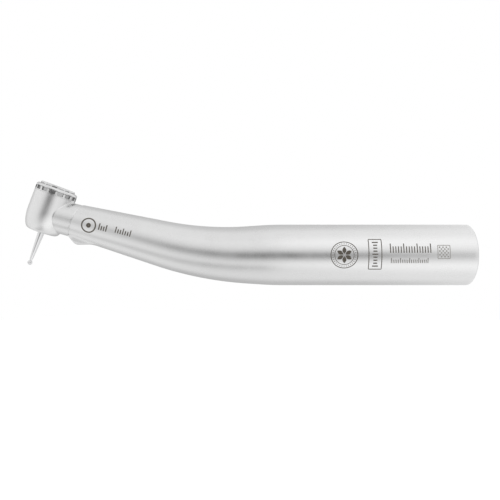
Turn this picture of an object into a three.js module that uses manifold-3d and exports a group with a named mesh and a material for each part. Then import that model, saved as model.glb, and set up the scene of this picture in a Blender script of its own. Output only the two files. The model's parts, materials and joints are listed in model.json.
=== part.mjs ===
// High speed dental handpiece: an air turbine head on a bent handle, with a light fed by a small
// generator. Millimetres. The origin is the centre of the rear face, +X runs out of the rear along the
// handle, and +Z is up, away from the bur.
import * as THREE from "three";
import { mergeVertices } from "three/addons/utils/BufferGeometryUtils.js";
import Module from "manifold-3d";

const wasm = await Module();
wasm.setup();

// ---- Driving dimensions -------------------------------------------------------------------------

const DEG = Math.PI / 180;
const FIT = 0.05; // radial gap between pieces that sit in one another
const FACE_GAP = 0.03; // gap between faces that meet
const ROUND = { shell: 48, head: 40, bearing: 24, part: 24, rod: 16, tube: 8, wire: 6 };

const HANDLE = { radius: 8.05, bore: 5.8, chamfer: 0.25, straight: 58.2 };
const BEND = { radius: 88.4, angle: 14.73 * DEG };
const TAPER = { start: 51.8, blend: 3, slope: 0.066 };
const NECK = { length: 23.75, boreStart: 66, boreEnd: 3.55, seamTilt: 8 * DEG, toHead: 8 };

const HEAD = { radius: 5.3, tilt: 20.7 * DEG, neckHeight: 5.1, shoulder: 5.5, bottom: 3.5 };
HEAD.rim = 10.35; // where the housing ends and the cap begins
const STUB = { atHead: 4.35, atSeam: 4.5, bore: 2.9, spigot: 3.45, spigotLength: 2.5, boreEnd: 5.4 };
const CHAMBER = { seat: 3.95, floor: 1.2, step: 3.9, radius: 4.6, thread: 4.75, threadStart: 7.2 };
const BUR_HOLE = 1.75;

const BEARING = { bore: 1.5875, outer: 3.175, width: 2.38, innerWall: 2.12, outerWall: 2.68 };
const BALL = { radius: 0.49, pitch: 2.4, count: 7, groove: 0.55 };
const CAGE = { inner: 2.2, outer: 2.6, height: 1.6, pocket: 0.54 };
const LOWER_BEARING = 1.45; // height of its lower face above the head's bottom
const UPPER_BEARING = 7.25;
const O_RING = { radius: 3.545, section: 0.34 };

const IMPELLER = { hub: 2, tip: 4.35, low: 4.1, high: 7, blades: 12, thickness: 0.45, lean: 20 * DEG };
const SPINDLE = { outer: 1.57, bore: 1.22, low: 0.3, high: 10.4 };
const COLLET = { outer: 1.19, bore: 0.83, low: 1.8, high: 9.6, slot: 0.25, slotTop: 6.5, slots: 3 };
const BUR = { shank: 0.8, top: 9.6, shankEnd: -0.9, neck: 0.42, neckEnd: -7.6, ball: 0.62, ballHeight: -8.8 };
const PUSHER = { radius: 1.15, low: 9.98, high: 10.75 };

const CAP = { skirt: 4.7, skirtLow: 7.3, ledge: 9.7, floor: 10.15, hole: 2.5, cavity: 4.65, top: 11.62 };
const NOTCH = { count: 16, width: 1.6, depth: 0.4, low: 10.6, start: 10.5 }; // start in degrees
const RING = { bore: 4.45, low: 11.65, high: 12.3, chamfer: 0.25 };
const BUTTON = { boss: 1.2, bossLow: 11.05, flange: 4.6, flangeLow: 11.3, flangeTop: 11.6, radius: 4.4 };
BUTTON.edge = 12.55;
BUTTON.top = 12.85;
const SPRING = { low: 10.2, high: 11.25, wire: 0.15, wide: 4.3, narrow: 3.2, turns: 2.5 };

// The lamp's bump, by points [ahead, up] in the seam's frame. Its chin is an arc about the point given.
const BUMP = { nose: [0.7, -4.35], chin: [-1.6, -4.77], chinRadius: 1.2, heel: [-6, -4.75], depth: 6.2 };
BUMP.width = 2.3; // to each side
const LAMP = { bore: 0.9, window: 0.85, windowLength: 1.2, led: 0.82, ledLength: 0.8, ahead: -0.12, up: -5.1 };
LAMP.lean = 41 * DEG;
const NOZZLE = { radius: 0.4, hole: 0.16, length: 1.3, lean: 28 * DEG, ahead: 2.1 };

const SLEEVE = { bore: 4.75, start: 0.6, end: 21.2, groove: 5.25, grooveStart: 6, grooveEnd: 7.4 };
const GASKET = { start: 21.3, end: 21.8 };
const MANIFOLD = { start: 21.9, end: 28.2 };
const EXHAUST = { radius: 1.5, up: -2.1, side: 2.3 };
const VALVE = { radius: 0.66, hole: 0.3, start: 22.3, end: 24.3 };
const TUBE_START = 24.8; // where the tubes end inside the manifold

const GEN = { radius: 3.7, wall: 0.35, up: -2, rear: 30.5, front: 48, wallLength: 1.1 };
const COIL = { inner: 2.15, start: 34, end: 42.5 };
const MAGNET = { radius: 1.95, start: 34.3, end: 42.2 };
const GEN_SHAFT = { radius: 0.6, start: 30.1, end: 47.9 };
const BUSHING = { radius: 1.2, bore: 0.64 };
const GEN_IMPELLER = { hub: 1, tip: 3, start: 43.6, end: 45.8, blades: 8, thickness: 0.4 };

// Where each tube and wire lies: [up, side] off the neck's axis at the head and at the handle's rear.
const LINES = {
  drive_air_tube: { outer: 1.05, bore: 0.75, head: [0.2, 1.6], rear: [3.1, 2.5] },
  chip_air_tube: { outer: 0.5, bore: 0.3, head: [1.7, -0.6], rear: [4.3, -0.6] },
  water_tube: { outer: 0.5, bore: 0.3, head: [0.6, -1.9], rear: [3.1, -3.2] },
};
const WIRE = { radius: 0.22, head: -2.65, side: 0.4, rear: -1.2, rearSide: 0.8 };

// ---- Materials ----------------------------------------------------------------------------------

function metal(color, roughness) {
  return new THREE.MeshStandardMaterial({ color, roughness, metalness: 1 });
}

function plain(color, roughness) {
  return new THREE.MeshStandardMaterial({ color, roughness, metalness: 0 });
}

const FINISH = {
  satin: metal(0xd2d3d4, 0.32),
  polished: metal(0xc4c6c8, 0.16),
  bearing: metal(0xb4b8bc, 0.12),
  carbide: metal(0x8c8f94, 0.3),
  spring: metal(0x9a9da2, 0.28),
  brass: metal(0xb89a5a, 0.35),
  magnet: metal(0x6f7276, 0.4),
  copper: metal(0xb06a3c, 0.35),
  glass: plain(0xe8eef2, 0.05),
  led: plain(0xf2ecc8, 0.4),
  rubber: plain(0x2b2c2e, 0.7),
  silicone: plain(0x8fa4ae, 0.6),
  cage: plain(0x6b4a2c, 0.5),
  wireRed: plain(0x9b2e28, 0.5),
  wireBlack: plain(0x232326, 0.5),
};

// ---- Solids -------------------------------------------------------------------------------------

// A closed three.js geometry as a manifold-3d solid, for joining and cutting.
function solid(geometry) {
  const bare = geometry.clone();
  bare.deleteAttribute("normal");
  bare.deleteAttribute("uv");
  const merged = mergeVertices(bare, 1e-4);
  const made = new wasm.Manifold(
    new wasm.Mesh({
      numProp: 3,
      vertProperties: new Float32Array(merged.attributes.position.array),
      triVerts: new Uint32Array(merged.index.array),
    }),
  );
  if (made.volume() > 0) return made;
  throw new Error("a profile runs the wrong way round, so its solid faces inwards");
}

function join(first, ...others) {
  return others.reduce((whole, next) => whole.add(next), first);
}

function cut(first, ...others) {
  return others.reduce((left, next) => left.subtract(next), first);
}

function geometryOf(shape) {
  const { vertProperties, triVerts } = shape.getMesh();
  const geometry = new THREE.BufferGeometry();
  geometry.setAttribute("position", new THREE.BufferAttribute(vertProperties, 3));
  geometry.setIndex(new THREE.BufferAttribute(triVerts, 1));
  geometry.computeVertexNormals();
  return geometry;
}

// A closed [radius, height] outline turned about Z. It runs up the outside and down the inside.
function turned(outline, segments) {
  const points = outline.map(([radius, height]) => new THREE.Vector2(radius, height));
  if (outline[0][0] > 0) points.push(points[0].clone());
  return solid(new THREE.LatheGeometry(points, segments).rotateX(Math.PI / 2));
}

function rod(radius, low, high, segments = ROUND.rod) {
  return turned([[0, low], [radius, low], [radius, high], [0, high]], segments);
}

function pipe(outer, bore, low, high, segments = ROUND.part) {
  return turned([[bore, low], [outer, low], [outer, high], [bore, high]], segments);
}

function block(x, y, z, centre) {
  return solid(new THREE.BoxGeometry(x, y, z).translate(...centre));
}

// Moves a solid by a three.js matrix.
function moved(shape, matrix) {
  return shape.transform(matrix.elements);
}

function turnedBy(angle, position = [0, 0, 0]) {
  return new THREE.Matrix4().makeRotationY(angle).setPosition(...position);
}

// Copies of a solid, evenly spaced about Z.
function around(shape, count) {
  return Array.from({ length: count }, (_, i) => shape.rotate([0, 0, (360 * i) / count]));
}

function arc(centre, radius, from, to, steps) {
  return Array.from({ length: steps + 1 }, (_, i) => {
    const angle = from + ((to - from) * i) / steps;
    return [centre[0] + radius * Math.cos(angle), centre[1] + radius * Math.sin(angle)];
  });
}

// ---- The handle's centre line -------------------------------------------------------------------

// In the handle's own frame Z is the distance along it from the rear face, X is up and Y is the side.
const BEND_LENGTH = BEND.radius * BEND.angle;
const SEAM = HANDLE.straight + BEND_LENGTH + NECK.length;

function spineAt(along) {
  const angle = THREE.MathUtils.clamp((along - HANDLE.straight) / BEND.radius, 0, BEND.angle);
  const beyond = along - HANDLE.straight - angle * BEND.radius;
  return {
    angle,
    up: BEND.radius * (1 - Math.cos(angle)) + beyond * Math.sin(angle),
    forward: HANDLE.straight + BEND.radius * Math.sin(angle) + beyond * Math.cos(angle),
  };
}

// The point beside the centre line, in the handle's frame.
function besideSpine(along, up, side) {
  const spine = spineAt(along);
  return new THREE.Vector3(
    spine.up + up * Math.cos(spine.angle),
    side,
    spine.forward - up * Math.sin(spine.angle),
  );
}

// Bends a solid built along a straight Z onto the handle's centre line.
function bent(shape) {
  return shape.warp((vertex) => {
    const [up, side, along] = vertex;
    [vertex[0], vertex[1], vertex[2]] = besideSpine(along, up, side).toArray();
  });
}

// Places a solid whose Z runs from the neck's seam towards the head.
function atSeam(shape, tilt = 0) {
  const place = besideSpine(SEAM, 0, 0);
  return moved(shape, turnedBy(BEND.angle + tilt, place.toArray()));
}

function outerRadius(along) {
  const past = along - TAPER.start;
  if (past <= -TAPER.blend) return HANDLE.radius;
  if (past < TAPER.blend) {
    return HANDLE.radius - (TAPER.slope * (past + TAPER.blend) ** 2) / (4 * TAPER.blend);
  }
  return HANDLE.radius - TAPER.slope * past;
}

function boreRadius(along) {
  const share = THREE.MathUtils.clamp((along - NECK.boreStart) / (SEAM - NECK.boreStart), 0, 1);
  return THREE.MathUtils.lerp(HANDLE.bore, NECK.boreEnd, share);
}

// ---- Handle -------------------------------------------------------------------------------------

// Everything in front of the seam between the neck and the head's stub.
function aheadOfSeam(gap) {
  const reach = 40;
  return atSeam(block(reach, reach, reach, [0, 0, reach / 2 + gap]), NECK.seamTilt);
}

// The bump under the neck, behind the head, that carries the lamp. Its outline is [ahead, up], and its
// sides are rounded off by an elliptic cylinder along the neck.
function lampBump() {
  const { nose, chin, chinRadius, heel, depth, width } = BUMP;
  const outline = new THREE.Shape(
    [
      [nose[0], -STUB.bore],
      nose,
      ...arc(chin, chinRadius, -59 * DEG, -106 * DEG, 4),
      heel,
      [heel[0], -STUB.bore],
    ].map(([ahead, up]) => new THREE.Vector2(ahead, up)),
  );
  const across = new THREE.ExtrudeGeometry(outline, { depth: 2 * width, bevelEnabled: false });
  across.translate(0, 0, -width);
  // the outline's x, y and depth become the neck's z, x and y
  const [x, y, z] = [[1, 0, 0], [0, 1, 0], [0, 0, 1]].map((axis) => new THREE.Vector3(...axis));
  across.applyMatrix4(new THREE.Matrix4().makeBasis(z, x, y));
  const middle = -STUB.bore;
  const rounding = rod(1, heel[0] - 1, nose[0] + 1, ROUND.shell)
    .scale([depth - STUB.bore, width, 1])
    .translate([middle, 0, 0]);
  const stubRoom = rod(STUB.atSeam + FIT, -FIT, 6, ROUND.head);
  return atSeam(cut(solid(across).intersect(rounding), stubRoom));
}

// The lamp looks out of the bump's slanted front: its Z runs into the neck from that face. This places
// it in the seam's frame.
function lampSeat(shape) {
  return moved(shape, turnedBy(Math.PI / 2 + LAMP.lean, [LAMP.up, 0, LAMP.ahead]));
}

function lampBore() {
  return lampSeat(rod(LAMP.bore, -1, 3.2));
}

function handleShell() {
  const front = SEAM + 2;
  const blendStations = [-1, -0.4, 0.2, 1].map((share) => TAPER.start + share * TAPER.blend);
  const bendStations = [0, 0.17, 0.34, 0.5, 0.67, 0.84, 1].map(
    (share) => HANDLE.straight + share * BEND_LENGTH,
  );
  const outline = [
    [0, 0],
    [HANDLE.radius - HANDLE.chamfer, 0],
    [HANDLE.radius, HANDLE.chamfer],
    ...[...blendStations, ...bendStations, front].map((along) => [outerRadius(along), along]),
    [0, front],
  ];
  const boreStations = [-1, HANDLE.straight, NECK.boreStart, ...bendStations.slice(3), front + 1];
  const bore = [[0, -1], ...boreStations.map((along) => [boreRadius(along), along]), [0, front + 1]];
  const outside = join(cut(bent(turned(outline, ROUND.shell)), aheadOfSeam(-FACE_GAP)), lampBump());
  return cut(outside, bent(turned(bore, ROUND.shell)), atSeam(lampBore()));
}

function lightWindow() {
  return atSeam(lampSeat(rod(LAMP.window, FACE_GAP, LAMP.windowLength)));
}

function ledModule() {
  const start = LAMP.windowLength + FIT;
  return atSeam(lampSeat(rod(LAMP.led, start, start + LAMP.ledLength)));
}

// A tube or wire along the handle, between two distances from the rear face.
function line({ head, rear, outer, bore }, from, to, segments, steps) {
  const stations = [1, 0.86, 0.72, 0.55, 0.4, 0.27, 0.14, 0].map((share) => {
    const along = THREE.MathUtils.lerp(from, to, share);
    const blend = THREE.MathUtils.smoothstep(along, 48, 97);
    return besideSpine(
      along,
      THREE.MathUtils.lerp(rear[0], head[0], blend),
      THREE.MathUtils.lerp(rear[1], head[1], blend),
    );
  });
  const circle = (radius) =>
    arc([0, 0], radius, 0, 2 * Math.PI * (1 - 1 / segments), segments - 1).map(
      ([x, y]) => new THREE.Vector2(x, y),
    );
  const section = new THREE.Shape(circle(outer));
  if (bore) section.holes.push(new THREE.Path(circle(bore)));
  const extrudePath = new THREE.CatmullRomCurve3(stations);
  return solid(new THREE.ExtrudeGeometry(section, { steps, extrudePath, bevelEnabled: false }));
}

function ledWire(side) {
  const head = [WIRE.head, side * WIRE.side];
  const rear = [WIRE.rear, side * WIRE.rearSide];
  const start = GEN.front + FIT;
  return line({ head, rear, outer: WIRE.radius }, start, SEAM - 1.6, ROUND.wire, 22);
}

// The three tubes' own holes, larger than the tubes by the gap.
function lineHoles(low, high, grow) {
  return Object.values(LINES).map(({ outer, rear }) =>
    rod(outer + grow, low, high, ROUND.tube + 2).translate([rear[0], rear[1], 0]),
  );
}

function exhaustHoles(low, high) {
  return [-1, 1].map((side) =>
    rod(EXHAUST.radius, low, high).translate([EXHAUST.up, side * EXHAUST.side, 0]),
  );
}

function manifold() {
  const body = rod(HANDLE.bore - FIT, MANIFOLD.start, MANIFOLD.end, ROUND.part);
  const [low, high] = [MANIFOLD.start - 1, MANIFOLD.end + 1];
  return cut(body, ...lineHoles(low, high, 0.25), ...exhaustHoles(low, high));
}

function manifoldGasket() {
  const body = rod(HANDLE.bore - 2 * FIT, GASKET.start, GASKET.end, ROUND.part);
  const [low, high] = [GASKET.start - 1, GASKET.end + 1];
  return cut(body, ...lineHoles(low, high, -0.1), ...exhaustHoles(low, high));
}

function waterCheckValve() {
  const [up, side] = LINES.water_tube.rear;
  return pipe(VALVE.radius, VALVE.hole, VALVE.start, VALVE.end, ROUND.tube + 2).translate([up, side, 0]);
}

function socketSleeve() {
  const outer = HANDLE.bore - FIT;
  const outline = [
    [outer, SLEEVE.start],
    [outer, SLEEVE.end],
    [SLEEVE.bore, SLEEVE.end],
    [SLEEVE.bore, SLEEVE.grooveEnd],
    [SLEEVE.groove, SLEEVE.grooveEnd],
    [SLEEVE.groove, SLEEVE.grooveStart],
    [SLEEVE.bore, SLEEVE.grooveStart],
    [SLEEVE.bore, SLEEVE.start + 0.5],
    [SLEEVE.bore + 0.5, SLEEVE.start],
  ];
  return turned(outline, ROUND.shell);
}

// ---- Generator: its own frame is the handle's, with Z through the shaft ------------------------

function generatorHousing() {
  const inside = GEN.radius - GEN.wall;
  const wall = GEN.front - GEN.wallLength;
  const outline = [
    [GEN.radius, GEN.rear],
    [GEN.radius, GEN.front],
    [BUSHING.radius + FIT, GEN.front],
    [BUSHING.radius + FIT, wall],
    [inside, wall],
    [inside, GEN.rear],
  ];
  const slot = block(GEN.radius, 0.9, 2.4, [GEN.radius, 0, (GEN_IMPELLER.start + GEN_IMPELLER.end) / 2]);
  return cut(turned(outline, ROUND.part), ...around(slot, 6));
}

function generatorEndCap() {
  const inside = GEN.radius - GEN.wall - FIT;
  const outline = [
    [BUSHING.radius + FIT, GEN.rear - 0.4],
    [GEN.radius, GEN.rear - 0.4],
    [GEN.radius, GEN.rear - FACE_GAP],
    [inside, GEN.rear - FACE_GAP],
    [inside, GEN.rear + 0.7],
    [BUSHING.radius + FIT, GEN.rear + 0.7],
  ];
  const inlet = rod(0.6, GEN.rear - 1, GEN.rear + 1).translate([2.3, 0, 0]);
  return cut(turned(outline, ROUND.part), ...around(inlet, 3));
}

function generatorCoil() {
  return pipe(GEN.radius - GEN.wall - FIT, COIL.inner, COIL.start, COIL.end);
}

function generatorBushing(low) {
  return pipe(BUSHING.radius, BUSHING.bore, low, low + GEN.wallLength, ROUND.rod);
}

function bladedWheel({ hub, tip, low, high, blades, thickness, lean, bore, hubLow, hubHigh }) {
  const length = tip - hub + 0.3;
  const blade = block(length, thickness, high - low, [length / 2, 0, 0])
    .rotate([(lean * 180) / Math.PI, 0, 0])
    .translate([hub - 0.3, 0, (low + high) / 2]);
  const whole = join(rod(hub, hubLow, hubHigh, ROUND.part), ...around(blade, blades));
  const bounds = pipe(tip, bore, low, high).add(pipe(hub, bore, hubLow, hubHigh));
  return whole.intersect(bounds);
}

function generatorImpeller() {
  const { start: low, end: high } = GEN_IMPELLER;
  return bladedWheel({
    ...GEN_IMPELLER, low, high, lean: 25 * DEG, bore: GEN_SHAFT.radius + 0.02, hubLow: low, hubHigh: high,
  });
}

// ---- Head: its own frame has Z up the turbine's axis from the head's bottom, X towards the neck --

// Places a solid whose Z runs from the head's axis towards the neck's seam.
function towardsNeck(shape, tilt = 0) {
  const rise = HEAD.tilt - BEND.angle;
  return moved(shape, turnedBy(Math.PI / 2 - rise + tilt, [0, 0, HEAD.neckHeight]));
}

// A solid given in the neck's seam frame, with Z towards the head, placed in the head's frame.
function fromSeam(shape, tilt = 0) {
  const facing = new THREE.Matrix4().makeRotationY(Math.PI + tilt).setPosition(0, 0, NECK.toHead);
  return towardsNeck(moved(shape, facing));
}

function headOutline() {
  const corner = { across: HEAD.radius - HEAD.bottom, up: HEAD.shoulder };
  const rounded = arc([0, 0], 1, -Math.PI / 2, 0, 7).map(([c, s]) => [
    HEAD.bottom + corner.across * c,
    corner.up * (1 + s),
  ]);
  return [[0, 0], ...rounded, [HEAD.radius, HEAD.rim], [0, HEAD.rim]];
}

function chamber() {
  const above = HEAD.rim + 1;
  return turned(
    [
      [0, CHAMBER.floor], [CHAMBER.seat, CHAMBER.floor], [CHAMBER.seat, CHAMBER.step],
      [CHAMBER.radius, CHAMBER.step], [CHAMBER.radius, CHAMBER.threadStart],
      [CHAMBER.thread, CHAMBER.threadStart], [CHAMBER.thread, above], [0, above],
    ],
    ROUND.head,
  );
}

// The seat of the spray nozzle in the stub's underside. Its Z points down, towards the bur.
function atNozzle(shape) {
  const down = Math.PI / 2 - NOZZLE.lean;
  return fromSeam(moved(shape, turnedBy(-down, [-STUB.atHead, 0, NOZZLE.ahead])));
}

// The head and its stub, before they are hollowed out.
function headOutside() {
  const stub = turned(
    [[0, -2], [STUB.atSeam, -2], [STUB.atHead, NECK.toHead], [0, NECK.toHead]],
    ROUND.head,
  );
  const reach = 40;
  const behindSeam = block(reach, reach, reach, [0, 0, FACE_GAP - reach / 2]);
  return join(
    turned(headOutline(), ROUND.head),
    cut(fromSeam(stub), fromSeam(behindSeam, NECK.seamTilt)),
  );
}

function headHousing() {
  const spigot = pipe(STUB.spigot, STUB.bore, -STUB.spigotLength, 1, ROUND.head);
  const ledRoom = block(2.4, 2.6, 4, [-3.4, 0, -2]);
  const outside = join(headOutside(), cut(fromSeam(spigot), fromSeam(ledRoom)));
  const neckBore = fromSeam(rod(STUB.bore, -4, NECK.toHead - STUB.boreEnd, ROUND.part));
  const jet = fromSeam(rod(0.45, 2, 4.2).translate([0.2, 1.6, 0]));
  const exhaust = fromSeam(rod(0.9, 2, 4.6).translate([-0.6, -1, 0]));
  const burHole = rod(BUR_HOLE, -1, 2, ROUND.part);
  const nozzleSeat = atNozzle(rod(NOZZLE.radius + FIT, -NOZZLE.length, NOZZLE.length, ROUND.part));
  return cut(outside, chamber(), neckBore, jet, exhaust, burHole, nozzleSeat, fromSeam(lampBore()));
}

// The nozzle's end is ground flush with the head.
function sprayNozzle() {
  const blank = atNozzle(pipe(NOZZLE.radius, NOZZLE.hole, -NOZZLE.length, NOZZLE.length, ROUND.rod));
  return blank.intersect(headOutside());
}

function backCap() {
  const outline = [
    [CAP.skirt, CAP.skirtLow],
    [CAP.skirt, HEAD.rim + FACE_GAP],
    [HEAD.radius, HEAD.rim + FACE_GAP],
    [HEAD.radius, CAP.top],
    [CAP.cavity, CAP.top],
    [CAP.cavity, CAP.floor],
    [CAP.hole, CAP.floor],
    [CAP.hole, CAP.ledge],
    [CHAMBER.seat, CAP.ledge],
    [CHAMBER.seat, CAP.skirtLow],
  ];
  const height = CAP.top + 1 - NOTCH.low;
  const middle = [HEAD.radius - NOTCH.depth + 1, 0, NOTCH.low + height / 2];
  const notch = block(2, NOTCH.width, height, middle).rotate([0, 0, NOTCH.start]);
  return cut(turned(outline, ROUND.head), ...around(notch, NOTCH.count));
}

function retainingRing() {
  const outline = [
    [RING.bore, RING.low],
    [HEAD.radius, RING.low],
    [HEAD.radius, RING.high - RING.chamfer],
    [HEAD.radius - RING.chamfer, RING.high],
    [RING.bore, RING.high],
  ];
  return turned(outline, ROUND.head);
}

function pushButton() {
  const outline = [
    [0, BUTTON.bossLow],
    [BUTTON.boss, BUTTON.bossLow],
    [BUTTON.boss, BUTTON.flangeLow],
    [BUTTON.flange, BUTTON.flangeLow],
    [BUTTON.flange, BUTTON.flangeTop],
    [BUTTON.radius, BUTTON.flangeTop],
    [BUTTON.radius, BUTTON.edge],
    [BUTTON.radius - 0.3, BUTTON.top],
    [BUTTON.radius - 1.2, BUTTON.top],
    [0, BUTTON.top - 0.2],
  ];
  return turned(outline, ROUND.head);
}

function buttonSpring() {
  const steps = 60;
  const coil = Array.from({ length: steps + 1 }, (_, i) => {
    const share = i / steps;
    const radius = THREE.MathUtils.lerp(SPRING.wide, SPRING.narrow, share);
    const angle = 2 * Math.PI * SPRING.turns * share;
    const rise = THREE.MathUtils.lerp(SPRING.low + SPRING.wire, SPRING.high - SPRING.wire, share);
    return new THREE.Vector3(radius * Math.cos(angle), radius * Math.sin(angle), rise);
  });
  const half = SPRING.wire;
  const section = new THREE.Shape(
    [[-half, -half], [half, -half], [half, half], [-half, half]].map(([x, y]) => new THREE.Vector2(x, y)),
  );
  const extrudePath = new THREE.CatmullRomCurve3(coil);
  return solid(new THREE.ExtrudeGeometry(section, { steps, extrudePath, bevelEnabled: false }));
}

// ---- Turbine ------------------------------------------------------------------------------------

function grooveArc(middle, from, to) {
  return arc([BALL.pitch, middle], BALL.groove, from, to, 6);
}

function innerRace(low) {
  const middle = low + BEARING.width / 2;
  const meet = Math.acos((BALL.pitch - BEARING.innerWall) / BALL.groove);
  const outline = [
    [BEARING.bore, low],
    [BEARING.innerWall, low],
    ...grooveArc(middle, Math.PI + meet, Math.PI - meet),
    [BEARING.innerWall, low + BEARING.width],
    [BEARING.bore, low + BEARING.width],
  ];
  return turned(outline, ROUND.bearing);
}

function outerRace(low) {
  const middle = low + BEARING.width / 2;
  const meet = Math.acos((BEARING.outerWall - BALL.pitch) / BALL.groove);
  const outline = [
    [BEARING.outerWall, low],
    [BEARING.outer, low],
    [BEARING.outer, low + BEARING.width],
    [BEARING.outerWall, low + BEARING.width],
    ...grooveArc(middle, meet, -meet),
  ];
  return turned(outline, ROUND.bearing);
}

function cage(low) {
  const middle = low + BEARING.width / 2;
  const ring = pipe(CAGE.outer, CAGE.inner, middle - CAGE.height / 2, middle + CAGE.height / 2);
  const pocket = solid(new THREE.SphereGeometry(CAGE.pocket, 8, 6)).translate([BALL.pitch, 0, middle]);
  return cut(ring, ...around(pocket, BALL.count));
}

function oRing(middle) {
  return turned(
    arc([O_RING.radius, middle], O_RING.section, 0, 2 * Math.PI * (1 - 1 / 8), 7),
    ROUND.part,
  );
}

function preloadWasher() {
  return pipe(3.15, 2.7, CHAMBER.floor + FACE_GAP, LOWER_BEARING - FACE_GAP, ROUND.bearing);
}

function impeller() {
  const hubLow = LOWER_BEARING + BEARING.width + 0.02;
  return bladedWheel({ ...IMPELLER, bore: SPINDLE.outer + 0.02, hubLow, hubHigh: UPPER_BEARING - 0.02 });
}

function collet() {
  const { low, slotTop } = COLLET;
  const slot = block(2, COLLET.slot, slotTop - low + 1, [1, 0, (low - 1 + slotTop) / 2]);
  const tube = pipe(COLLET.outer, COLLET.bore, low, COLLET.high, ROUND.rod + 4);
  return cut(tube, ...around(slot, COLLET.slots));
}

function bur() {
  const tip = arc([0, BUR.ballHeight], BUR.ball, -Math.PI / 2, 0.3 * Math.PI, 7);
  tip[0][0] = 0;
  const outline = [
    ...tip,
    [0.3, BUR.ballHeight + 0.75],
    [BUR.neck, BUR.neckEnd],
    [BUR.shank, BUR.shankEnd],
    [BUR.shank, BUR.top - 0.2],
    [BUR.shank - 0.2, BUR.top],
    [0, BUR.top],
  ];
  return turned(outline, ROUND.rod);
}

// ---- Assembly -----------------------------------------------------------------------------------

function add(group, name, shape, material) {
  const mesh = new THREE.Mesh(geometryOf(shape), material);
  mesh.name = name;
  group.add(mesh);
}

function addBearing(group, side, low) {
  add(group, `${side}_outer_race`, outerRace(low), FINISH.bearing);
  add(group, `${side}_inner_race`, innerRace(low), FINISH.bearing);
  add(group, `${side}_cage`, cage(low), FINISH.cage);
  add(group, `${side}_o_ring`, oRing(low + BEARING.width / 2), FINISH.rubber);
  const ball = solid(new THREE.SphereGeometry(BALL.radius, 8, 6));
  around(ball.translate([BALL.pitch, 0, low + BEARING.width / 2]), BALL.count).forEach((one, i) => {
    add(group, `${side}_ball_${i + 1}`, one, FINISH.bearing);
  });
}

function headGroup() {
  const group = new THREE.Group();
  add(group, "head_housing", headHousing(), FINISH.satin);
  add(group, "spray_nozzle", sprayNozzle(), FINISH.polished);
  add(group, "back_cap", backCap(), FINISH.polished);
  add(group, "cap_retaining_ring", retainingRing(), FINISH.polished);
  add(group, "push_button", pushButton(), FINISH.satin);
  add(group, "button_spring", buttonSpring(), FINISH.spring);
  addBearing(group, "lower", LOWER_BEARING);
  addBearing(group, "upper", UPPER_BEARING);
  add(group, "preload_washer", preloadWasher(), FINISH.spring);
  add(group, "turbine_impeller", impeller(), FINISH.polished);
  add(group, "spindle", pipe(SPINDLE.outer, SPINDLE.bore, SPINDLE.low, SPINDLE.high), FINISH.bearing);
  add(group, "chuck_collet", collet(), FINISH.spring);
  add(group, "chuck_pusher", rod(PUSHER.radius, PUSHER.low, PUSHER.high), FINISH.spring);
  add(group, "bur", bur(), FINISH.carbide);
  return group;
}

function generatorGroup() {
  const group = new THREE.Group();
  const frontBushing = GEN.front - GEN.wallLength;
  const rearBushing = GEN.rear - 0.4;
  const { start, end } = MAGNET;
  add(group, "generator_housing", generatorHousing(), FINISH.spring);
  add(group, "generator_end_cap", generatorEndCap(), FINISH.brass);
  add(group, "generator_coil", generatorCoil(), FINISH.copper);
  add(group, "generator_front_bushing", generatorBushing(frontBushing), FINISH.brass);
  add(group, "generator_rear_bushing", generatorBushing(rearBushing), FINISH.brass);
  add(group, "generator_magnet", pipe(MAGNET.radius, GEN_SHAFT.radius + 0.02, start, end), FINISH.magnet);
  add(group, "generator_shaft", rod(GEN_SHAFT.radius, GEN_SHAFT.start, GEN_SHAFT.end), FINISH.spring);
  add(group, "generator_impeller", generatorImpeller(), FINISH.polished);
  group.position.x = GEN.up;
  return group;
}

function handleGroup() {
  const group = new THREE.Group();
  add(group, "handle_shell", handleShell(), FINISH.satin);
  add(group, "light_window", lightWindow(), FINISH.glass);
  add(group, "led_module", ledModule(), FINISH.led);
  add(group, "led_wire_left", ledWire(-1), FINISH.wireRed);
  add(group, "led_wire_right", ledWire(1), FINISH.wireBlack);
  for (const [name, sizes] of Object.entries(LINES)) {
    add(group, name, line(sizes, TUBE_START, SEAM + 1.9, ROUND.tube, 20), FINISH.polished);
  }
  add(group, "manifold", manifold(), FINISH.brass);
  add(group, "manifold_gasket", manifoldGasket(), FINISH.silicone);
  add(group, "water_check_valve", waterCheckValve(), FINISH.rubber);
  add(group, "socket_sleeve", socketSleeve(), FINISH.polished);
  group.add(generatorGroup());
  group.rotation.y = -Math.PI / 2;
  return group;
}

function handpiece() {
  const group = new THREE.Group();
  const head = headGroup();
  const meeting = besideSpine(SEAM + NECK.toHead, 0, 0);
  head.rotation.y = HEAD.tilt;
  head.position.set(
    -meeting.z - HEAD.neckHeight * Math.sin(HEAD.tilt),
    0,
    meeting.x - HEAD.neckHeight * Math.cos(HEAD.tilt),
  );
  group.add(head, handleGroup());
  return group;
}

export default handpiece();
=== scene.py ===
"""High speed dental handpiece: its looks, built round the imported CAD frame.

Pieces are modelled in millimetres, in the frame of the row, and turned into metres at the end.
"""

import json
import math

import bmesh
import bpy
import numpy as np
from mathutils import Matrix, Vector


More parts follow.
